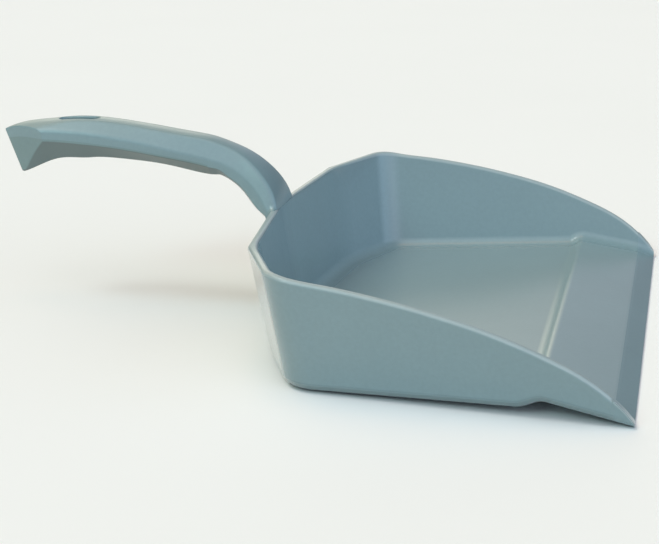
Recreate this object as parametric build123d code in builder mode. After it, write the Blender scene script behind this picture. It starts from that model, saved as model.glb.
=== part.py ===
from build123d import *
import os
from math import acos, atan2, cos, hypot, sin, sqrt, tan

os.makedirs("parts", exist_ok=True)

# ---------------------------------------------------------------------------
# Hand dustpan, millimetres.
# Tray frame used while shaping: x across the mouth, y = 0 at the scraping lip
# and growing towards the handle, z = 0 just above the tray's underside.
# At the end every piece is turned so that the lip and the heel stand on z = 0.
# ---------------------------------------------------------------------------

# tray, outside
MOUTH_HALF = 166.2        # half width of the side planes at y = 0, z = 0
SIDE_TAPER = 0.1367       # side planes close in towards the rear, per mm of y
SIDE_LEAN = 0.2724        # side planes lean outwards, per mm of z
RIM_H = 63.1              # height of the rear rim
REAR_MID = 201.9          # rear wall on the centre line at z = 0
REAR_LEAN = 0.139         # rear wall leans backwards, per mm of z
REAR_VEE = 0.0931         # rear wall falls forwards to each side, per mm of x
CORNER_X, CORNER_Y = 143.6, 171.8   # a point of the corner wall at z = 0
CORNER_SLOPE = 0.404      # corner wall in plan, fall of y per mm of x
CORNER_LEAN = 0.196       # corner wall, growth of y per mm of z
SIDE_T = 4.6              # side wall thickness
REAR_T = 4.6              # rear and corner wall thickness
FLOOR_TOP = 3.0           # upper side of the floor
UNDER_Z = -1.1            # flat underside of the tray
CORNER_R = 22.0           # upright corner between side and corner wall
CREASE_R = 14.0           # upright creases of the rear wall, outside
CREASE_IN_R = 90.0        # the same creases inside
HEEL_R = 7.0              # outer rounding under the walls
COVE_R = 6.6              # inner rounding between floor and walls
RIM_R = 1.8               # rounding of the rim

# ramp and lip: (y, z) of the underside and of the top
RAMP_UNDER = [(54.0, UNDER_Z), (44.2, 3.35)]
LIP_UNDER_Z = -6.8
RAMP_TOP = [(51.4, FLOOR_TOP), (46.4, 6.3), (10.0, -1.5)]
LIP_TOP_Z = -5.7
RAMP_R = 8.0
FOOT_R, CREST_R = 7.4, 4.6  # foot and crest of the step between floor and ramp
STEP_R = 18.0             # underside step, wider than the heel rounding

# rim line of the side walls (y, z)
RIM_LINE = [(181.0, RIM_H), (163.4, 60.6), (145.4, 58.0), (127.6, 54.9),
            (110.1, 51.2), (92.7, 46.8), (75.6, 41.8), (58.6, 35.7),
            (41.7, 28.4), (25.0, 19.8), (8.3, 6.7), (2.0, -0.6), (-1.8, -7.0)]

# where the moulding is divided into its regions
FLOOR_INSET = 13.0        # floor plate keeps this far inside the wall planes
RAMP_START = 60.0
LIP_START = 10.0
WALL_END = 152.0          # side wall ends here, rear wall begins

# handle stations: top edge (y, z), bottom (y, z), then half width and depth
# below the top of: top edge, side ridge, lower side edge, and the bottom edge
NECK = [
    # yt, zt, yb, zb, ht, hw, dr, hs, ds, hk
    (203.2, 50.0, 211.0, 48.0, 22.4, 23.6, 4.4, 20.8, 6.3, 17.0),
    (204.8, 62.4, 215.6, 60.4, 20.2, 21.4, 5.6, 18.8, 9.0, 14.5),
    (208.5, 73.4, 221.5, 66.2, 17.0, 18.2, 7.0, 16.6, 13.0, 12.4),
    (216.6, 84.0, 227.8, 73.5, 13.4, 15.2, 8.0, 14.5, 13.4, 10.6),
    (228.0, 93.0, 236.0, 79.3, 9.2, 13.5, 8.5, 13.2, 13.6, 9.6),
    (237.0, 97.25, 241.0, 80.5, 7.9, 13.15, 8.9, 12.85, 12.9, 7.4),
]
GRIP = [
    # y, z top, half widths and heights of top edge, ridge and lower side edge,
    # crown of the top face, rounding of the top edge
    # y, zt, ht, zr, hw, zs, hs, crown, rt
    (246.0, 100.4, 7.8, 90.5, 13.1, 85.9, 12.8, 0.9, 3.0),
    (251.0, 101.5, 7.8, 91.8, 13.2, 87.2, 12.8, 0.9, 3.0),
    (264.0, 103.7, 8.1, 94.8, 13.9, 90.0, 13.4, 0.9, 3.0),
    (282.0, 106.9, 7.8, 99.2, 14.6, 93.4, 14.0, 0.9, 3.0),
    (300.0, 109.8, 7.5, 102.7, 15.0, 96.5, 14.3, 0.9, 3.0),
    (315.0, 111.4, 7.9, 104.9, 15.1, 98.4, 14.4, 1.0, 3.5),
    (330.0, 111.2, 9.4, 106.2, 15.2, 99.9, 14.5, 1.4, 5.0),
    (340.0, 109.8, 11.4, 106.6, 15.2, 100.5, 14.5, 1.9, 7.0),
    (348.0, 108.4, 12.8, 106.3, 15.2, 100.7, 14.5, 2.6, 8.0),
    (360.0, 106.0, 13.8, 104.9, 15.2, 100.6, 14.5, 3.4, 8.0),
    (370.0, 103.2, 14.1, 102.3, 15.2, 98.8, 14.5, 3.0, 8.0),
    (380.0, 98.5, 14.4, 97.8, 15.2, 96.0, 14.5, 2.6, 8.0),
]
CROWN = 0.9               # crown of the neck's front face
SEAM_UP = 1.3             # parting line runs this far above the lower side edge
BASE_DROP, BASE_IN = 5.4, 6.4   # bottom edge of the neck's end, below and inside the lower side edge
LEAD = (241.0, 99.2, 7.8, 89.2, 13.1, 84.5, 12.8, 0.9, 3.0)   # station just ahead of the grip
# keel of the underside cover (z, half width) at the lead and the grip stations
KEEL = [(79.4, 3.4), (79.7, 3.3), (80.4, 3.2), (83.3, 3.2), (86.8, 3.6), (89.0, 4.9),
        (89.9, 6.2), (89.7, 6.4), (88.4, 5.4), (85.5, 4.2), (80.6, 2.6), (76.8, 2.4), (73.0, 2.4)]
NECK_END = 246.0          # the neck ends and the hollow grip begins
TIP = [(373.9, 104.6), (366.0, 82.0)]    # bow edge of the handle's end (y, z)
TIP_SIDE = (15.2, 344.2, 106.4)          # where the bow meets the side ridge
SLOT_Y, SLOT_LEN, SLOT_WIDE = 325.0, 24.0, 9.0
SLOT_WALL = 2.4
SLOT_R = 1.1              # rounding of the slot's upper mouth
GRIP_WALL = 2.8
BOW_R, BOW_SIDE_R = 2.2, 0.8   # roundings of the bow edge and of the end faces
KEEL_R = 1.5
BOW_FOOT_R = 1.5          # rounding where the bow ends below
TOP_EDGE_R, RIDGE_R, LOW_R, BOTTOM_R = 3.0, 4.0, 1.5, 2.5   # long edges of the handle
REST_TILT = 1.6693        # degrees the tray leans forward onto its lip
REST_Y, REST_Z = 187.0365, 6.7971   # shift to the middle of the object, on the ground


def lean_plane(nx, ny, nz, px, py, pz):
    """A wall plane through a point, its z direction pointing outwards."""
    return Plane(origin=(px, py, pz), x_dir=(ny, -nx, 0), z_dir=(nx, ny, nz))


def wall_planes(side_in, rear_in):
    """The six wall planes, moved inwards by the given amounts."""
    planes = []
    for s in (1, -1):
        for nx, ny, nz, px, py, inset in (
            (1.0, SIDE_TAPER, -SIDE_LEAN, MOUTH_HALF, 0.0, side_in),
            (CORNER_SLOPE, 1.0, -CORNER_LEAN, CORNER_X, CORNER_Y, rear_in),
            (REAR_VEE, 1.0, -REAR_LEAN, 0.0, REAR_MID, rear_in),
        ):
            length = sqrt(nx * nx + ny * ny + nz * nz)
            k = inset / length
            planes.append(lean_plane(s * nx, ny, nz, s * (px - k * nx), py - k * ny, -k * nz))
    return planes


def upright_edges(part, low, high):
    """Edges between wall planes whose distance from the centre is in a range."""
    found = ShapeList()
    for e in part.edges():
        t = e.tangent_at(0.5)
        c = e.center()
        if abs(t.Z) > 0.8 and c.Y > 120 and low <= abs(c.X) <= high:
            found.append(e)
    return found


def foot_edges(part):
    """Edges where the walls stand on the floor and the ramp."""
    found = ShapeList()
    for e in part.edges():
        t = e.tangent_at(0.5)
        c = e.center()
        crosswise = abs(t.X) > 0.99 and c.Y < 100
        if c.Z < 9 and not crosswise and c.Y > -24.5:
            found.append(e)
    return found


# --- outside of the tray, as a tall block --------------------------------------
with BuildPart() as pan_outer:
    with BuildSketch(Plane.YZ) as outer_side:
        with BuildLine():
            slope = (RAMP_UNDER[1][1] - LIP_UNDER_Z) / RAMP_UNDER[1][0]
            FilletPolyline((240, UNDER_Z), RAMP_UNDER[0], RAMP_UNDER[1], (-25, LIP_UNDER_Z - 25 * slope), radius=[STEP_R, RAMP_R])
            Polyline((-25, LIP_UNDER_Z - 25 * slope), (-25, 90), (240, 90), (240, UNDER_Z))
        make_face()
    extrude(amount=200, both=True)
    for plane in wall_planes(0, 0):
        split(bisect_by=plane, keep=Keep.BOTTOM)
    fillet(upright_edges(pan_outer.part, 130, 200), CORNER_R)
    fillet(upright_edges(pan_outer.part, 0, 130), CREASE_R)
    fillet(foot_edges(pan_outer.part), HEEL_R)

# --- hollow of the tray ----------------------------------------------------------
with BuildPart() as pan_inner:
    with BuildSketch(Plane.YZ) as inner_side:
        with BuildLine():
            fall = (RAMP_TOP[2][1] - LIP_TOP_Z) / RAMP_TOP[2][0]
            FilletPolyline((240, FLOOR_TOP), *RAMP_TOP, (-25, LIP_TOP_Z - 25 * fall), radius=[FOOT_R, CREST_R, 14])
            Polyline((-25, LIP_TOP_Z - 25 * fall), (-25, 110), (240, 110), (240, FLOOR_TOP))
        make_face()
    extrude(amount=200, both=True)
    for plane in wall_planes(SIDE_T, REAR_T):
        split(bisect_by=plane, keep=Keep.BOTTOM)
    fillet(upright_edges(pan_inner.part, 130, 200), CORNER_R - SIDE_T)
    fillet(upright_edges(pan_inner.part, 0, 130), CREASE_IN_R)
    fillet(foot_edges(pan_inner.part), COVE_R)

# --- everything above the rim line and ahead of the lip -------------------------
with BuildPart() as above_rim:
    with BuildSketch(Plane.YZ):
        with BuildLine():
            Line((245, RIM_H), RIM_LINE[0])
            Spline(*RIM_LINE, tangents=[(-1, 0), (-0.5, -1)])
            Polyline(RIM_LINE[-1], (-60, RIM_LINE[-1][1]), (-60, 150), (245, 150), (245, RIM_H))
        make_face()
    extrude(amount=210, both=True)

with BuildPart() as pan_block:
    add(pan_outer.part)
    add(above_rim.part, mode=Mode.SUBTRACT)
    split(bisect_by=Plane.XZ, keep=Keep.BOTTOM)

with BuildPart() as pan:
    add(pan_block.part)
    add(pan_inner.part, mode=Mode.SUBTRACT)


# --- handle: two lofts that share their stations, from the rear wall to the bow ---
def soften(before, corner, after, radius, room):
    """Start, middle and end of a rounding between two directions at a corner."""
    turn = acos(max(-1.0, min(1.0, before[0] * after[0] + before[1] * after[1])))
    reach = min(radius * tan(turn / 2), room)
    start = (corner[0] - reach * before[0], corner[1] - reach * before[1])
    end = (corner[0] + reach * after[0], corner[1] + reach * after[1])
    bis = (after[0] - before[0], after[1] - before[1])
    size = sqrt(bis[0] ** 2 + bis[1] ** 2)
    drop = reach / tan(turn / 2) * (1 / cos(turn / 2) - 1)
    middle = (corner[0] + bis[0] / size * drop, corner[1] + bis[1] / size * drop)
    return start, middle, end


def section(yt, zt, yb, zb, pts, crown, top_r):
    """Closed half-symmetric outline hanging from the crowned top of the handle."""
    depth = sqrt((yt - yb) ** 2 + (zt - zb) ** 2)
    up = ((yt - yb) / depth, (zt - zb) / depth)
    plane = Plane(origin=(0, yt, zt), x_dir=(1, 0, 0), z_dir=(0, -up[1], up[0]))
    top, ridge, low, bottom = [(h, -d) for h, d in pts]
    slope = 2 * atan2(crown, top[0])
    crown_dir = (cos(slope), -sin(slope))
    upper, lower = hypot(ridge[0] - top[0], ridge[1] - top[1]), hypot(low[0] - ridge[0], low[1] - ridge[1])
    upper_dir = ((ridge[0] - top[0]) / upper, (ridge[1] - top[1]) / upper)
    lower_dir = ((low[0] - ridge[0]) / lower, (low[1] - ridge[1]) / lower)
    a0, m0, b0 = soften(crown_dir, top, upper_dir, top_r, 0.45 * upper)
    a1, m1, b1 = soften(upper_dir, ridge, lower_dir, RIDGE_R, 0.45 * min(upper, lower))
    base = hypot(bottom[0] - low[0], bottom[1] - low[1])
    base_dir = ((bottom[0] - low[0]) / base, (bottom[1] - low[1]) / base)
    a2, m2, b2 = soften(lower_dir, low, base_dir, LOW_R, 0.45 * min(lower, base))
    a3, m3, b3 = soften(base_dir, bottom, (-1, 0), BOTTOM_R, 0.45 * base)
    other = lambda p: (-p[0], p[1])
    with BuildSketch(plane) as outline:
        with BuildLine():
            ThreePointArc(other(a0), (0, crown), a0)
            ThreePointArc(a0, m0, b0)
            Line(b0, a1)
            ThreePointArc(a1, m1, b1)
            Line(b1, a2)
            ThreePointArc(a2, m2, b2)
            Line(b2, a3)
            ThreePointArc(a3, m3, b3)
            Line(b3, other(b3))
            ThreePointArc(other(b3), other(m3), other(a3))
            Line(other(a3), other(b2))
            ThreePointArc(other(b2), other(m2), other(a2))
            Line(other(a2), other(b1))
            ThreePointArc(other(b1), other(m1), other(a1))
            Line(other(a1), other(b0))
            ThreePointArc(other(b0), other(m0), other(a0))
        make_face()
    return outline.sketch


sections = []
for yt, zt, yb, zb, ht, hw, dr, hs, ds, hk in NECK:
    depth = sqrt((yt - yb) ** 2 + (zt - zb) ** 2)
    sections.append(section(yt, zt, yb, zb, [(ht, 0), (hw, dr), (hs, ds), (hk, depth)], CROWN, TOP_EDGE_R))
for y, zt, ht, zr, hw, zs, hs, crown, rt in GRIP:
    sections.append(section(y, zt, y, zs - BASE_DROP, [(ht, 0), (hw, zt - zr), (hs, zt - zs), (hs - BASE_IN, zt - zs + BASE_DROP)], crown, rt))

with BuildPart() as neck_body:
    loft(sections[:len(NECK) + 5])

with BuildPart() as grip_body:
    loft(sections[len(NECK) - 2:])


# --- parting surface between the upper shell and the underside cover ------------
with BuildPart() as under_parting:
    with BuildSketch(Plane.YZ):
        with BuildLine():
            seam = [(g[0], g[5] + SEAM_UP) for g in [LEAD] + GRIP]
            Spline(*seam)
            Polyline(seam[-1], (seam[-1][0], 55), (seam[0][0], 55), seam[0])
        make_face()
    extrude(amount=40, both=True)

# --- underside cover: the keel below the lower side edges ------------------------
keels = []
for (y, zt, ht, zr, hw, zs, hs, crown, rt), (zk, hk) in zip([LEAD] + GRIP, KEEL):
    rise = 4.0
    top = (hs + (hw - hs) * rise / (zr - zs), zs + rise)
    drop, run = hypot(hs - top[0], rise), hypot(hs - hk, zs - zk)
    side_dir = ((hs - top[0]) / drop, -rise / drop)
    keel_dir = ((hk - hs) / run, (zk - zs) / run)
    a, m, b = soften(side_dir, (hs, zs), keel_dir, LOW_R, 1.0)
    with BuildSketch(Plane(origin=(0, y, 0), x_dir=(1, 0, 0), z_dir=(0, -1, 0))) as outline:
        with BuildLine():
            Line(top, a)
            ThreePointArc(a, m, b)
            Polyline(b, (hk, zk), (-hk, zk), (-b[0], b[1]))
            ThreePointArc((-b[0], b[1]), (-m[0], m[1]), (-a[0], a[1]))
            Polyline((-a[0], a[1]), (-top[0], top[1]), top)
        make_face()
    keels.append(outline.sketch)

with BuildPart() as keel_body:
    loft(keels)

# --- hollow of the grip, with the sleeve of the hanging slot left standing -------
hollow = []
for (y, zt, ht, zr, hw, zs, hs, crown, rt), (zk, hk) in zip(GRIP[2:9], KEEL[3:10]):
    with BuildSketch(Plane(origin=(0, y, 0), x_dir=(1, 0, 0), z_dir=(0, -1, 0))) as ring:
        with BuildLine():
            right = [(ht - 1.2, zt - GRIP_WALL), (hw - GRIP_WALL - 0.2, zr), (hs - GRIP_WALL - 0.4, zs), (max(hk - 1.6, 1.2), zk + 3.6)]
            Polyline(*right, *[(-h, z) for h, z in reversed(right)], close=True)
        make_face()
    hollow.append(ring.sketch)

with BuildPart() as slot_sleeve:
    with BuildSketch(Plane.XY.offset(60)):
        with Locations((0, SLOT_Y)):
            SlotOverall(SLOT_LEN + 2 * SLOT_WALL, SLOT_WIDE + 2 * SLOT_WALL, rotation=90)
    extrude(amount=70)

with BuildPart() as grip_hollow:
    loft(hollow)
    add(slot_sleeve.part, mode=Mode.SUBTRACT)

with BuildPart() as slot_cutter:
    with BuildSketch(Plane.XY.offset(60)):
        with Locations((0, SLOT_Y)):
            SlotOverall(SLOT_LEN, SLOT_WIDE, rotation=90)
    extrude(amount=70)


def bow_planes():
    """The two end faces that meet on the handle's bow edge."""
    (y1, z1), (y2, z2) = TIP
    x3, y3, z3 = TIP_SIDE
    planes = []
    for side in (1, -1):
        a = Vector(0, y2 - y1, z2 - z1)
        b = Vector(side * x3, y3 - y1, z3 - z1)
        n = a.cross(b).normalized()
        if n.X * side < 0:
            n = n * -1
        planes.append(Plane(origin=(0, y1, z1), x_dir=a, z_dir=n))
    return planes


def bow_edges(part, low, high):
    """Edges lying in the two end faces, between two heights, without the seam."""
    found = ShapeList()
    for e in part.edges():
        points = [e.position_at(t) for t in (0.1, 0.5, 0.9)]
        for plane in bow_planes():
            if all(abs((p - plane.origin).dot(plane.z_dir)) < 0.05 for p in points):
                if low < e.center().Z < high and e not in found:
                    found.append(e)
    return found


# --- upper shell of the grip ------------------------------------------------------
with BuildPart() as grip_shape:
    add(grip_body.part)
    split(bisect_by=Plane.XZ.offset(-NECK_END), keep=Keep.BOTTOM)
    add(under_parting.part, mode=Mode.SUBTRACT)
    for plane in bow_planes():
        split(bisect_by=plane, keep=Keep.BOTTOM)
    add(grip_hollow.part, mode=Mode.SUBTRACT)
    fillet(bow_edges(grip_shape.part, 101, 120).filter_by(lambda e: abs(e.center().X) < 0.5), BOW_R)
    rounded = bow_edges(grip_shape.part, 102.5, 120).filter_by(GeomType.BSPLINE)
    rounded += grip_shape.part.edges().filter_by(lambda e: abs(e.center().X) < 0.5 and e.center().Y > 365 and e.center().Z > 103)
    fillet(rounded, BOW_SIDE_R)
    add(slot_cutter.part, mode=Mode.SUBTRACT)
    fillet(grip_shape.part.edges().filter_by(lambda e: abs(e.center().X) < 5 and abs(e.center().Y - SLOT_Y) < 14 and e.center().Z > 111), SLOT_R)

# --- underside cover of the grip --------------------------------------------------
with BuildPart() as cover_shape:
    add(keel_body.part)
    split(bisect_by=Plane.XZ.offset(-NECK_END), keep=Keep.BOTTOM)
    add(under_parting.part, mode=Mode.INTERSECT)
    for plane in bow_planes():
        split(bisect_by=plane, keep=Keep.BOTTOM)
    add(grip_hollow.part, mode=Mode.SUBTRACT)
    fillet(bow_edges(cover_shape.part, 70, 101).filter_by(lambda e: abs(e.center().X) < 0.5), BOW_R)
    fillet(cover_shape.part.edges().filter_by(lambda e: e.length > 80 and abs(e.center().X) < 8 and e.center().Z < 92), KEEL_R)
    fillet(cover_shape.part.edges().filter_by(lambda e: e.center().Y > 352 and e.center().Z < 86), BOW_FOOT_R)
    add(slot_cutter.part, mode=Mode.SUBTRACT)

# --- regions of the tray moulding -------------------------------------------------
def meet(a, b):
    """Point where two plan lines p * x + q * y = c cross."""
    (p, q, c), (r, s, d) = a, b
    det = p * s - q * r
    return ((c * s - q * d) / det, (p * d - c * r) / det)


side_line = (1.0, SIDE_TAPER, MOUTH_HALF - FLOOR_INSET * sqrt(1 + SIDE_TAPER ** 2))
corner_line = (CORNER_SLOPE, 1.0, CORNER_SLOPE * CORNER_X + CORNER_Y - FLOOR_INSET * sqrt(1 + CORNER_SLOPE ** 2))
rear_line = (REAR_VEE, 1.0, REAR_MID - FLOOR_INSET * sqrt(1 + REAR_VEE ** 2))
ramp_end = meet(side_line, (0.0, 1.0, RAMP_START))
lip_end = meet(side_line, (0.0, 1.0, LIP_START))
floor_right = [ramp_end, meet(side_line, corner_line), meet(corner_line, rear_line)]
floor_plan = floor_right + [meet(rear_line, (1.0, 0.0, 0.0))] + [(-x, y) for x, y in reversed(floor_right)]
ramp_plan = [lip_end, ramp_end, (-ramp_end[0], ramp_end[1]), (-lip_end[0], lip_end[1])]

with BuildPart() as floor_zone:
    with BuildSketch(Plane.XY.offset(-20)):
        Polygon(*floor_plan, align=None)
    extrude(amount=60)

with BuildPart() as ramp_zone:
    with BuildSketch(Plane.XY.offset(-20)):
        Polygon(*ramp_plan, align=None)
    extrude(amount=60)


def rim_edges(part):
    """Long edges on both sides of the rim's top face."""
    found = ShapeList()
    for face in part.faces():
        n = face.normal_at(face.center())
        flat_top = face.geom_type == GeomType.PLANE and abs(face.center().Z - RIM_H) < 0.01
        if flat_top or (face.geom_type == GeomType.EXTRUSION and face.area > 5 and n.Z > 0.3):
            for e in face.edges():
                box = e.bounding_box().size
                crosswise = box.Y < 0.001 and abs(e.center().X) > 100
                if not crosswise and e not in found:
                    found.append(e)
    return found


with BuildPart() as floor_shape:
    add(pan.part)
    add(floor_zone.part, mode=Mode.INTERSECT)

with BuildPart() as ramp_shape:
    add(pan.part)
    add(ramp_zone.part, mode=Mode.INTERSECT)

with BuildPart() as lip_shape:
    add(pan.part)
    split(bisect_by=Plane.XZ.offset(-LIP_START), keep=Keep.TOP)

with BuildPart() as right_shape:
    add(pan.part)
    split(bisect_by=Plane.XZ.offset(-LIP_START), keep=Keep.BOTTOM)
    split(bisect_by=Plane.XZ.offset(-WALL_END), keep=Keep.TOP)
    split(bisect_by=Plane.YZ.offset(-80), keep=Keep.BOTTOM)
    add(floor_zone.part, mode=Mode.SUBTRACT)
    add(ramp_zone.part, mode=Mode.SUBTRACT)
    fillet(rim_edges(right_shape.part), RIM_R)

with BuildPart() as left_shape:
    add(right_shape.part.mirror(Plane.YZ))

with BuildPart() as rear_shape:
    add(pan.part)
    split(bisect_by=Plane.XZ.offset(-WALL_END), keep=Keep.BOTTOM)
    add(floor_zone.part, mode=Mode.SUBTRACT)
    fillet(rim_edges(rear_shape.part), RIM_R)

# --- neck, standing on the rim and running down the outside of the rear wall ------
with BuildPart() as tray_space:
    with BuildSketch(Plane.XY.offset(1)):
        Rectangle(420, 520)
    extrude(amount=RIM_H - 1)
    for plane in wall_planes(0, 0):
        split(bisect_by=plane, keep=Keep.BOTTOM)

with BuildPart() as neck_shape:
    add(neck_body.part)
    split(bisect_by=Plane.XZ.offset(-NECK_END), keep=Keep.TOP)
    add(tray_space.part, mode=Mode.SUBTRACT)


# --- every piece turned to stand on its lip and heel, origin under the middle -----
REST = Location((0, -REST_Y, REST_Z)) * Location((0, 0, 0), (-REST_TILT, 0, 0))

with BuildPart() as tray_floor:
    add(floor_shape.part.moved(REST))
tray_floor.part.label = "tray_floor"
export_step(tray_floor.part, "parts/tray_floor.step")

with BuildPart() as front_ramp:
    add(ramp_shape.part.moved(REST))
front_ramp.part.label = "front_ramp"
export_step(front_ramp.part, "parts/front_ramp.step")

with BuildPart() as front_lip:
    add(lip_shape.part.moved(REST))
front_lip.part.label = "front_lip"
export_step(front_lip.part, "parts/front_lip.step")

with BuildPart() as left_side_wall:
    add(left_shape.part.moved(REST))
left_side_wall.part.label = "left_side_wall"
export_step(left_side_wall.part, "parts/left_side_wall.step")

with BuildPart() as right_side_wall:
    add(right_shape.part.moved(REST))
right_side_wall.part.label = "right_side_wall"
export_step(right_side_wall.part, "parts/right_side_wall.step")

with BuildPart() as rear_wall:
    add(rear_shape.part.moved(REST))
rear_wall.part.label = "rear_wall"
export_step(rear_wall.part, "parts/rear_wall.step")

with BuildPart() as handle_neck:
    add(neck_shape.part.moved(REST))
handle_neck.part.label = "handle_neck"
export_step(handle_neck.part, "parts/handle_neck.step")

with BuildPart() as grip_shell:
    add(grip_shape.part.moved(REST))
grip_shell.part.label = "grip_shell"
export_step(grip_shell.part, "parts/grip_shell.step")

with BuildPart() as grip_underside_cover:
    add(cover_shape.part.moved(REST))
grip_underside_cover.part.label = "grip_underside_cover"
export_step(grip_underside_cover.part, "parts/grip_underside_cover.step")
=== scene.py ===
from math import radians, sin, cos
import bpy
from mathutils import Matrix, Vector
from mathutils.bvhtree import BVHTree


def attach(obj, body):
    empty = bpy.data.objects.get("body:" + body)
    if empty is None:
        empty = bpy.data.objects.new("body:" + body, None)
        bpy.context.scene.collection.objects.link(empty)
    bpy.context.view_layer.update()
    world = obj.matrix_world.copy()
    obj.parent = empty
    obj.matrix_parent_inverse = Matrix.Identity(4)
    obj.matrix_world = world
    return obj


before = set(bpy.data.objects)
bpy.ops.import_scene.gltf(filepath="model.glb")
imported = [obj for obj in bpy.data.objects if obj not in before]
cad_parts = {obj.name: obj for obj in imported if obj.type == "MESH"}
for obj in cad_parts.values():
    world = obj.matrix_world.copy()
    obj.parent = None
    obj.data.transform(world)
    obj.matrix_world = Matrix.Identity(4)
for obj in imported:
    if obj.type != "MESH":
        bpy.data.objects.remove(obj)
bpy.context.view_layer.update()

scene = bpy.context.scene
WIDTH, HEIGHT = 659, 544

# the tray leans forward onto its lip; these numbers lead from the part's frame
# back to the tray's own frame, where its floor is level and its lip is at y = 0
TILT = 1.6693
TRAY_Y, TRAY_Z = 0.1870365, 0.0067971


# --- camera at the photograph's viewing angle ---------------------------------
def camera():
    yaw, pitch, roll = radians(11.8664), radians(15.2437), radians(-0.2905)
    focal_px = 1734.89
    look = Vector((cos(yaw) * cos(pitch), sin(yaw) * cos(pitch), -sin(pitch)))
    right = look.cross(Vector((0, 0, 1))).normalized()
    up = right.cross(look)
    r = right * cos(roll) + up * sin(roll)
    u = up * cos(roll) - right * sin(roll)
    cam = bpy.data.cameras.new("camera")
    cam.sensor_fit = "HORIZONTAL"
    cam.sensor_width = 36.0
    cam.lens = focal_px / WIDTH * 36.0
    cam.clip_start, cam.clip_end = 0.02, 200.0
    cam.dof.use_dof = False
    obj = bpy.data.objects.new("camera", cam)
    m = Matrix((r, u, -look)).transposed().to_4x4()
    m.translation = Vector((-0.944741, -0.205044, 0.286898))
    obj.matrix_world = m
    scene.collection.objects.link(obj)
    scene.camera = obj


camera()


# --- materials ----------------------------------------------------------------
def node(tree, kind, **values):
    n = tree.nodes.new(kind)
    for key, value in values.items():
        if key in n.inputs:
            n.inputs[key].default_value = value
        else:
            setattr(n, key, value)
    return n


def math(tree, operation, a, b=None, c=None, clamp=False):
    """A math node; each operand is a number or an output to link."""
    n = tree.nodes.new("ShaderNodeMath")
    n.operation = operation
    n.use_clamp = clamp
    for i, v in enumerate((a, b, c)):
        if v is None:
            continue
        if isinstance(v, (int, float)):
            n.inputs[i].default_value = v
        else:
            tree.links.new(v, n.inputs[i])
    return n.outputs[0]


def ramp(tree, fac, *stops):
    """A colour ramp from (position, grey or colour) stops."""
    n = tree.nodes.new("ShaderNodeValToRGB")
    el = n.color_ramp.elements
    while len(el) < len(stops):
        el.new(0.5)
    for e, (p, v) in zip(el, stops):
        e.position = p
        e.color = (v, v, v, 1) if isinstance(v, (int, float)) else (*v, 1)
    tree.links.new(fac, n.inputs["Fac"])
    return n.outputs["Color"]


def blend(tree, kind, fac, a, b):
    n = tree.nodes.new("ShaderNodeMix")
    n.data_type = "RGBA"
    n.blend_type = kind
    n.clamp_result = False
    for key, v in ((0, fac), (6, a), (7, b)):
        if isinstance(v, (int, float)):
            n.inputs[key].default_value = v
        elif isinstance(v, tuple):
            n.inputs[key].default_value = (*v, 1)
        else:
            tree.links.new(v, n.inputs[key])
    return n.outputs[2]


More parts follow.
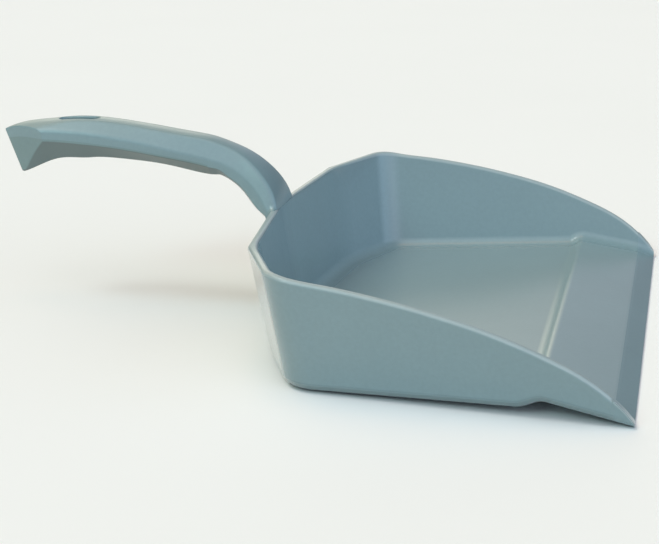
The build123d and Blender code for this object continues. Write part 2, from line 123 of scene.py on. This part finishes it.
def plastic(name, base, rough, coat, coat_rough, rim=False, scuffs=0.0, under=None, ends=None):
    """Satin moulded polypropylene: flow clouding, fine grain, a rim rubbed pale with a painted highlight, scuffs,
    painted shade on faces that look down.
    """
    mat = bpy.data.materials.new(name)
    mat.use_nodes = True
    tree = mat.node_tree
    tree.nodes.clear()
    out = node(tree, "ShaderNodeOutputMaterial")
    bsdf = node(tree, "ShaderNodeBsdfPrincipled", IOR=1.49)
    bsdf.inputs["Coat Weight"].default_value = coat
    bsdf.inputs["Coat Roughness"].default_value = coat_rough
    tree.links.new(bsdf.outputs["BSDF"], out.inputs["Surface"])
    where = node(tree, "ShaderNodeTexCoord").outputs["Object"]

    # colour: broad clouding and a finer mottle of the pigment
    cloud = node(tree, "ShaderNodeTexNoise", Scale=11.0, Detail=4.0, Roughness=0.55)
    tree.links.new(where, cloud.inputs["Vector"])
    colour = ramp(tree, cloud.outputs["Fac"], (0.3, tuple(c * 0.97 for c in base)), (0.7, tuple(c * 1.03 for c in base)))
    mottle = node(tree, "ShaderNodeTexNoise", Scale=420.0, Detail=2.0, Roughness=0.6)
    tree.links.new(where, mottle.inputs["Vector"])
    colour = blend(tree, "MULTIPLY", 1.0, colour, ramp(tree, mottle.outputs["Fac"], (0.3, 0.975), (0.7, 1.025)))

    # gloss: patchy, a little duller where the pigment is darker
    patch = node(tree, "ShaderNodeTexNoise", Scale=26.0, Detail=3.0, Roughness=0.6)
    tree.links.new(where, patch.inputs["Vector"])
    gloss = math(tree, "MULTIPLY_ADD", patch.outputs["Fac"], 0.10, rough - 0.05)

    # relief: fine moulding grain
    grain = node(tree, "ShaderNodeTexNoise", Scale=1500.0, Detail=2.0, Roughness=0.5)
    tree.links.new(where, grain.inputs["Vector"])
    height = grain.outputs["Fac"]

    if under:
        # faces that look down are painted darker: painted shade on the undersides
        turned = node(tree, "ShaderNodeTexCoord").outputs["Normal"]
        split = node(tree, "ShaderNodeSeparateXYZ")
        tree.links.new(turned, split.inputs[0])
        down_shade = node(tree, "ShaderNodeMapRange")
        down_shade.interpolation_type = "SMOOTHSTEP"
        down_shade.inputs["From Min"].default_value = -0.28
        down_shade.inputs["From Max"].default_value = -0.58
        tree.links.new(split.outputs["Z"], down_shade.inputs["Value"])
        patchy = math(tree, "MULTIPLY", down_shade.outputs["Result"], math(tree, "MULTIPLY_ADD", patch.outputs["Fac"], 0.2, 0.85), clamp=True)
        colour = blend(tree, "MIX", patchy, colour, tuple(c * u for c, u in zip(base, under)))
        gloss = math(tree, "MULTIPLY_ADD", patchy, 0.10, gloss)

    if rim or scuffs:
        # place in the tray's own frame
        turn = node(tree, "ShaderNodeMapping")
        turn.inputs["Location"].default_value = (0, TRAY_Y * cos(radians(TILT)) + TRAY_Z * sin(radians(TILT)), TRAY_Y * sin(radians(TILT)) - TRAY_Z * cos(radians(TILT)))
        turn.inputs["Rotation"].default_value = (radians(TILT), 0, 0)
        tree.links.new(where, turn.inputs["Vector"])
        place = node(tree, "ShaderNodeSeparateXYZ")
        tree.links.new(turn.outputs["Vector"], place.inputs[0])
        y, z = place.outputs["Y"], place.outputs["Z"]

    if rim:
        # the outside keeps its moulded gloss, the inside is dulled by use:
        # the outside is where the surface faces away from the middle of the tray
        turned = node(tree, "ShaderNodeTexCoord").outputs["Normal"]
        away = tree.nodes.new("ShaderNodeVectorMath")
        away.operation = "SUBTRACT"
        away.inputs[1].default_value = (0.0, -0.085, 0.03)
        tree.links.new(where, away.inputs[0])
        facing = tree.nodes.new("ShaderNodeVectorMath")
        facing.operation = "DOT_PRODUCT"
        tree.links.new(away.outputs[0], facing.inputs[0])
        tree.links.new(turned, facing.inputs[1])
        outside = node(tree, "ShaderNodeMapRange")
        outside.inputs["From Min"].default_value = 0.0
        outside.inputs["From Max"].default_value = 0.04
        tree.links.new(facing.outputs["Value"], outside.inputs["Value"])
        edge_on = node(tree, "ShaderNodeLayerWeight", Blend=0.5)
        slant = node(tree, "ShaderNodeMapRange")
        slant.inputs["From Min"].default_value = 0.45
        slant.inputs["From Max"].default_value = 0.85
        tree.links.new(edge_on.outputs["Facing"], slant.inputs["Value"])
        polish = math(tree, "MULTIPLY", outside.outputs["Result"], slant.outputs["Result"])
        sheen = math(tree, "MULTIPLY_ADD", polish, 1.0 - coat, coat, clamp=True)

        # the rim is rubbed dull, and painted pale partly as wear and partly as a painted highlight: height of the rim
        # over y, then how near its top we are
        line = node(tree, "ShaderNodeFloatCurve")
        pts = [(-1.8, -7.0), (2.0, -0.6), (8.3, 6.7), (25.0, 19.8), (41.7, 28.4), (58.6, 35.7), (75.6, 41.8),
               (92.7, 46.8), (110.1, 51.2), (127.6, 54.9), (145.4, 58.0), (163.4, 60.6), (181.0, 63.1), (240.0, 63.1)]
        curve = line.mapping.curves[0]
        while len(curve.points) < len(pts):
            curve.points.new(0.5, 0.5)
        for p, (py, pz) in zip(curve.points, pts):
            p.location = ((py + 10) / 260, (pz + 10) / 80)
        line.mapping.update()
        tree.links.new(math(tree, "MULTIPLY_ADD", y, 1000 / 260, 10 / 260), line.inputs["Value"])
        top = math(tree, "MULTIPLY_ADD", line.outputs["Value"], 0.080, -0.010)
        near = math(tree, "SUBTRACT", z, top)
        rim_band = node(tree, "ShaderNodeMapRange")
        rim_band.interpolation_type = "SMOOTHSTEP"
        rim_band.inputs["From Min"].default_value = -0.0024
        rim_band.inputs["From Max"].default_value = -0.0008
        tree.links.new(near, rim_band.inputs["Value"])
        rim_band_fac = rim_band.outputs["Result"]
        if ends:
            # only the turned-up ends reach the rim; their outside looks like that of the walls
            end = node(tree, "ShaderNodeMapRange")
            end.inputs["From Min"].default_value = 0.1585
            end.inputs["From Max"].default_value = 0.1615
            tree.links.new(math(tree, "ABSOLUTE", place.outputs["X"]), end.inputs["Value"])
            rim_band_fac = math(tree, "MULTIPLY", rim_band_fac, end.outputs["Result"])
            out_base, out_rough, out_coat, out_coat_rough = ends
            out_side = outside.outputs["Result"]
            colour = blend(tree, "MIX", out_side, colour, out_base)
            gloss = math(tree, "MULTIPLY_ADD", out_side, out_rough - rough, gloss)
            plain = math(tree, "MULTIPLY_ADD", out_side, out_coat - coat, coat)
            sheen = math(tree, "MULTIPLY_ADD", polish, math(tree, "SUBTRACT", 1.0, plain), plain, clamp=True)
            tree.links.new(math(tree, "MULTIPLY_ADD", out_side, out_coat_rough - coat_rough, coat_rough), bsdf.inputs["Coat Roughness"])
        rub = node(tree, "ShaderNodeTexNoise", Scale=55.0, Detail=4.0, Roughness=0.65)
        tree.links.new(where, rub.inputs["Vector"])
        wear_and_highlight = math(tree, "MULTIPLY", rim_band_fac, math(tree, "MULTIPLY_ADD", rub.outputs["Fac"], 0.5, 0.45))
        # pale rim colour: partly wear, partly painted highlight
        colour = blend(tree, "MIX", wear_and_highlight, colour, (base[0] * 1.85, base[1] * 1.5, base[2] * 1.42))
        gloss = math(tree, "MULTIPLY_ADD", wear_and_highlight, 0.10, gloss)
        tree.links.new(math(tree, "MULTIPLY", sheen, math(tree, "MULTIPLY_ADD", rim_band_fac, -0.8, 1.0)), bsdf.inputs["Coat Weight"])

    if scuffs:
        # long fine scratches from sweeping, strongest towards the lip
        stretch = node(tree, "ShaderNodeMapping")
        stretch.inputs["Scale"].default_value = (900.0, 18.0, 200.0)
        stretch.inputs["Rotation"].default_value = (0, 0, radians(5))
        tree.links.new(where, stretch.inputs["Vector"])
        scratch = node(tree, "ShaderNodeTexNoise", Scale=1.0, Detail=3.0, Roughness=0.7)
        tree.links.new(stretch.outputs["Vector"], scratch.inputs["Vector"])
        lines = ramp(tree, scratch.outputs["Fac"], (0.60, 0.0), (0.72, 1.0))
        front = node(tree, "ShaderNodeMapRange")
        front.inputs["From Min"].default_value = 0.075
        front.inputs["From Max"].default_value = 0.0
        tree.links.new(y, front.inputs["Value"])
        mark = math(tree, "MULTIPLY", math(tree, "MULTIPLY", lines, front.outputs["Result"]), scuffs)
        colour = blend(tree, "MIX", mark, colour, tuple(min(1, c * 1.5) for c in base))
        gloss = math(tree, "MULTIPLY_ADD", mark, 0.15, gloss)
        height = math(tree, "MULTIPLY_ADD", mark, -0.8, height)

    tree.links.new(colour, bsdf.inputs["Base Color"])
    tree.links.new(gloss, bsdf.inputs["Roughness"])
    bump = node(tree, "ShaderNodeBump", Strength=0.05, Distance=0.0002)
    tree.links.new(height, bump.inputs["Height"])
    tree.links.new(bump.outputs["Normal"], bsdf.inputs["Normal"])
    return mat


BASE = (0.200, 0.290, 0.310)
# the under colours are painted shade on faces that look down
WALLS = plastic("tray_wall_look", BASE, 0.24, 0.35, 0.10, rim=True, under=(0.76, 0.77, 0.76))
FLOOR = plastic("tray_floor_look", (0.206, 0.292, 0.312), 0.33, 0.62, 0.30, scuffs=0.35)
# the lip's base colour is darker than the floor's: painted shade
LIP = plastic("lip_look", (0.178, 0.267, 0.297), 0.33, 0.62, 0.30, rim=True, scuffs=0.35,
              ends=(BASE, 0.24, 0.35, 0.10))
HANDLE = plastic("handle_plastic_look", BASE, 0.31, 0.07, 0.30, under=(0.66, 0.62, 0.60))
# the cover's base colour is darker than the shell's: painted shade on the underside
COVER = plastic("cover_plastic_look", (0.172, 0.252, 0.256), 0.34, 0.06, 0.30, under=(0.72, 0.67, 0.66))
# the root blend's base colour is a little lighter than the handle's: a painted highlight
ROOT = plastic("neck_root_look", (0.215, 0.312, 0.330), 0.20, 0.80, 0.08)

LOOKS = {"front_lip": LIP, "handle_neck": HANDLE, "grip_shell": HANDLE, "grip_underside_cover": COVER,
         "left_side_wall": WALLS, "right_side_wall": WALLS, "rear_wall": WALLS}
for name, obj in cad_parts.items():
    look = LOOKS.get(name, FLOOR)
    if not obj.material_slots:
        obj.data.materials.append(look)
    for s in obj.material_slots:
        s.material = look


# --- blend where the neck grows out of the rim and the rear wall ----------------
def in_part(x, y, z):
    """A point of the tray's own frame, in millimetres, in the part's frame."""
    c, s = cos(radians(TILT)), sin(radians(TILT))
    y, z = y / 1000, z / 1000
    return Vector((x / 1000, y * c + z * s - TRAY_Y, z * c - y * s + TRAY_Z))


def surface(name):
    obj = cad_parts[name]
    points = [obj.matrix_world @ v.co for v in obj.data.vertices]
    return BVHTree.FromPolygons(points, [tuple(f.vertices) for f in obj.data.polygons])


def root_blend(side):
    """A hollow fillet along one side of the neck: over the rim, then down the outside of the wall."""
    neck, wall = surface("handle_neck"), surface("rear_wall")
    # foot line beside the neck: y, z and the angle of the surface it follows, then the fillet's reach
    path = [(204.9, 62.75, -35, 0.8), (205.4, 63.0, -16, 2.2), (206.0, 63.1, 0, 3.1), (206.7, 63.1, 0, 3.5), (207.5, 62.95, 22, 3.6),
            (208.2, 62.4, 48, 3.6), (208.6, 61.6, 78, 3.4), (208.5, 60.4, 98, 3.1), (208.2, 58.2, 98, 2.7),
            (207.9, 56.0, 98, 2.2), (207.6, 53.8, 98, 1.5), (207.3, 51.6, 98, 0.6)]
    rows = []
    for y, z, angle, reach in path:
        out_y, out_z = sin(radians(angle)), cos(radians(angle))

        def beside(h):
            start = in_part(side * 60, y + h * out_y, z + h * out_z)
            return neck.ray_cast(start, Vector((-side, 0, 0)), 0.06)[0]
        upper, corner = beside(reach), beside(0.35)
        if upper is None or corner is None:
            continue
        corner = Vector((corner.x, *in_part(0, y, z).yz))
        lower = wall.find_nearest(corner + Vector((side * reach / 1000, 0, 0)))[0]
        foot = wall.find_nearest(corner)[0]
        corner = Vector((corner.x, foot.y, foot.z))
        inside = corner + Vector((-side * 0.0012, 0, 0)) - (in_part(0, y + out_y, z + out_z) - in_part(0, y, z)) * 0.9
        arc = []
        for i in range(9):
            t = i / 8
            arc.append(upper * (1 - t) ** 2 + corner * 2 * t * (1 - t) + lower * t ** 2)
        rows.append(arc + [inside])
    n = len(rows[0])
    verts = [v for row in rows for v in row]
    faces = []
    for r in range(len(rows) - 1):
        for k in range(n):
            a, b = r * n + k, r * n + (k + 1) % n
            faces.append((a, b, b + n, a + n) if side < 0 else (a, a + n, b + n, b))
    first, last = tuple(range(n)), tuple(range((len(rows) - 1) * n, len(rows) * n))
    faces += [first[::-1], last] if side < 0 else [first, last[::-1]]
    mesh = bpy.data.meshes.new("neck_root_blend")
    mesh.from_pydata(verts, [], faces)
    for f in mesh.polygons[:-2]:
        f.use_smooth = True
    mesh.materials.append(ROOT)
    obj = bpy.data.objects.new("neck_root_blend_" + ("left" if side > 0 else "right"), mesh)
    scene.collection.objects.link(obj)
    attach(obj, "root")


root_blend(1)
root_blend(-1)


# --- floor --------------------------------------------------------------------
def floor():
    mesh = bpy.data.meshes.new("floor")
    a = 40.0
    mesh.from_pydata([(-a, -a, 0), (a, -a, 0), (a, a, 0), (-a, a, 0)], [], [(0, 1, 2, 3)])
    obj = bpy.data.objects.new("floor", mesh)
    scene.collection.objects.link(obj)
    mat = bpy.data.materials.new("floor_paper")
    mat.use_nodes = True
    tree = mat.node_tree
    bsdf = tree.nodes["Principled BSDF"]
    bsdf.inputs["Roughness"].default_value = 0.9
    bsdf.inputs["Specular IOR Level"].default_value = 0.1
    where = node(tree, "ShaderNodeTexCoord")
    paper = node(tree, "ShaderNodeTexNoise", Scale=3.0, Detail=3.0)
    tree.links.new(where.outputs["Object"], paper.inputs["Vector"])
    tree.links.new(ramp(tree, paper.outputs["Fac"], (0.0, 0.88), (1.0, 0.90)), bsdf.inputs["Base Color"])
    mesh.materials.append(mat)


floor()


# --- soft studio light: a pale dome with a few large and a few smaller soft boxes --
def dome(boxes):
    """Each box: compass angle from +X towards +Y, height angle, sharpness, colour."""
    world = bpy.data.worlds.new("studio")
    world.use_nodes = True
    tree = world.node_tree
    back = tree.nodes["Background"]
    where = tree.nodes.new("ShaderNodeTexCoord").outputs["Generated"]
    total = None
    for az, el, power, colour in boxes:
        a, e = radians(az), radians(el)
        dot = tree.nodes.new("ShaderNodeVectorMath")
        dot.operation = "DOT_PRODUCT"
        dot.inputs[1].default_value = (cos(a) * cos(e), sin(a) * cos(e), sin(e))
        tree.links.new(where, dot.inputs[0])
        lobe = math(tree, "POWER", math(tree, "MAXIMUM", dot.outputs["Value"], 0.0), power)
        tint = tree.nodes.new("ShaderNodeVectorMath")
        tint.operation = "SCALE"
        tint.inputs[0].default_value = colour
        tree.links.new(lobe, tint.inputs["Scale"])
        if total is None:
            total = tint.outputs[0]
        else:
            add = tree.nodes.new("ShaderNodeVectorMath")
            add.operation = "ADD"
            tree.links.new(total, add.inputs[0])
            tree.links.new(tint.outputs[0], add.inputs[1])
            total = add.outputs[0]
    tree.links.new(total, back.inputs["Color"])
    back.inputs["Strength"].default_value = 1.0
    scene.world = world


dome([
    (0, 16, 60, (0.56, 0.60, 0.74)),
    (20, 16, 60, (2.32, 2.30, 1.98)),
    (225, 15, 10, (1.20, 1.30, 1.62)),
    (270, 15, 10, (1.11, 1.54, 1.96)),
    (180, 50, 6, (1.43, 1.47, 1.57)),
    (60, 50, 6, (1.45, 1.24, 0.90)),
    (150, 32, 120, (7.0, 11.4, 11.0)),
    (120, 62, 120, (10.4, 11.7, 11.4)),
    (180, 62, 120, (1.1, 1.0, 0.8)),
    (60, 62, 120, (1.1, 0.5, 0.2)),
    (0, 88, 120, (3.2, 2.0, 1.2)),
])
scene.view_settings.view_transform = "Standard"
scene.view_settings.look = "None"
